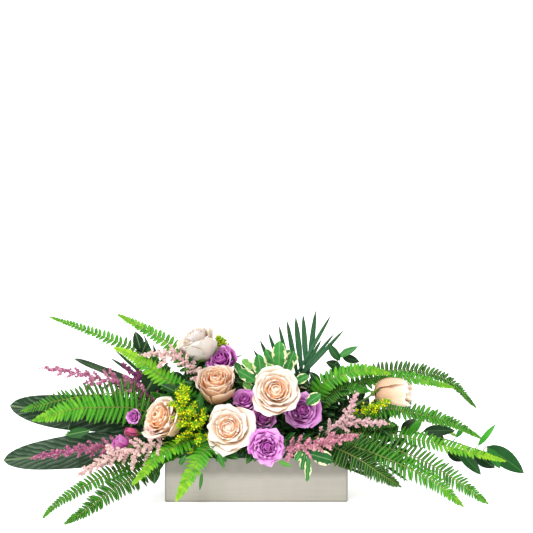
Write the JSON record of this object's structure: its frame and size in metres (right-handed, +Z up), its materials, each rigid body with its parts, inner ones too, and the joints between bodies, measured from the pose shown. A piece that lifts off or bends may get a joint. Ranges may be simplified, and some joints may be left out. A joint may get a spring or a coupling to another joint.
{
  "type": "floral table centerpiece",
  "caption": "Low, long table centerpiece: cream and lavender roses, fern fronds, astilbe, goldenrod and broad leaves held in foam in a rectangular planter box.",
  "frame": {"origin": "middle of the planter's base, on the surface it stands on", "axes": "+X along the planter, to the right seen from the front; -Y towards the front; +Z up"},
  "size_m": [0.8784, 0.3683, 0.3082],
  "materials": {
    "planter_metal": "satin pewter lacquer on sheet metal",
    "wet_foam": "dark green open-cell floral foam, wet",
    "cream_petal": "soft velvety cream to peach rose petal",
    "lavender_petal": "velvety lavender-pink rose petal",
    "fern_green": "fresh sword fern, satin",
    "striped_leaf": "broad dark leaf with pale stripes, waxy",
    "ruscus_leaf": "ruscus leaf, waxy",
    "variegated_leaf": "green leaf with a cream margin",
    "astilbe_pink": "feathery pink and mauve flower plume",
    "goldenrod_yellow": "small yellow buds on green stems",
    "palm_green": "stiff palm blade, satin"
  },
  "bodies": {
    "root": {"planter_box": "planter_metal", "floral_foam": "wet_foam", "cream_rose_1": "cream_petal", "cream_rose_2": "cream_petal", "cream_rose_3": "cream_petal", "cream_rose_4": "cream_petal", "cream_rose_5": "cream_petal", "cream_rose_6": "cream_petal", "cream_rose_7": "cream_petal", "cream_rose_8": "cream_petal", "spray_rose_1": "lavender_petal", "spray_rose_2": "lavender_petal", "spray_rose_3": "lavender_petal", "spray_rose_4": "lavender_petal", "spray_rose_5": "lavender_petal", "spray_rose_6": "lavender_petal", "spray_rose_7": "lavender_petal", "rosebud_1": "lavender_petal", "rosebud_2": "lavender_petal", "fern_1": "fern_green", "fern_2": "fern_green", "fern_3": "fern_green", "fern_4": "fern_green", "fern_5": "fern_green", "fern_6": "fern_green", "fern_7": "fern_green", "fern_8": "fern_green", "fern_9": "fern_green", "fern_10": "fern_green", "fern_11": "fern_green", "fern_12": "fern_green", "fern_13": "fern_green", "fern_14": "fern_green", "fern_15": "fern_green", "fern_16": "fern_green", "fern_17": "fern_green", "fern_18": "fern_green", "fern_19": "fern_green", "fern_20": "fern_green", "broad_leaf_1": "striped_leaf", "broad_leaf_2": "striped_leaf", "broad_leaf_3": "striped_leaf", "ruscus_1": "ruscus_leaf", "ruscus_2": "ruscus_leaf", "variegated_sprig_1": "variegated_leaf", "variegated_sprig_2": "variegated_leaf", "astilbe_1": "astilbe_pink", "astilbe_2": "astilbe_pink", "astilbe_3": "astilbe_pink", "astilbe_4": "astilbe_pink", "astilbe_5": "astilbe_pink", "astilbe_6": "astilbe_pink", "astilbe_7": "astilbe_pink", "astilbe_8": "astilbe_pink", "goldenrod_1": "goldenrod_yellow", "goldenrod_2": "goldenrod_yellow", "goldenrod_3": "goldenrod_yellow", "goldenrod_4": "goldenrod_yellow", "palm_fan_1": "palm_green", "palm_fan_2": "palm_green"}
  },
  "joints": []
}
